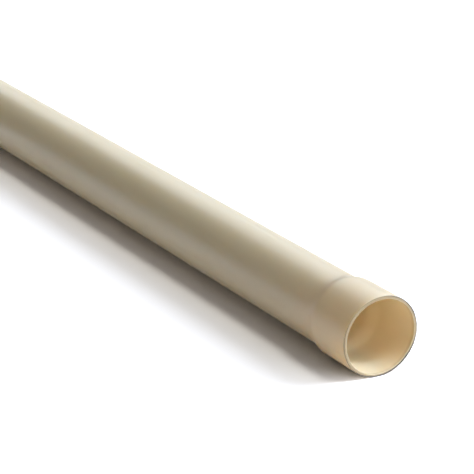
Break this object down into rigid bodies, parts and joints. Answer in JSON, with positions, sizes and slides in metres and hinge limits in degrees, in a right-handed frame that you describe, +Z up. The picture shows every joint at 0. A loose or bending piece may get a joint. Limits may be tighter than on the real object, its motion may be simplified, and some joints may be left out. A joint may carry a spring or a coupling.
{
  "type": "pvc drain pipe",
  "caption": "Straight cream PVC drain pipe: a round tube with a plain tapered spigot at one end and a belled socket at the other that takes the next pipe's spigot.",
  "frame": {"origin": "on the floor under the middle of the pipe's length: the bottom centre of its bounding box", "axes": "+X along the pipe from the plain spigot end to the socket's mouth, +Z up, with the pipe lying on the floor"},
  "size_m": [1.028, 0.0436, 0.0437],
  "materials": {
    "cream_pvc": "satin"
  },
  "bodies": {
    "root": {"drain_pipe": "cream_pvc"}
  },
  "joints": []
}
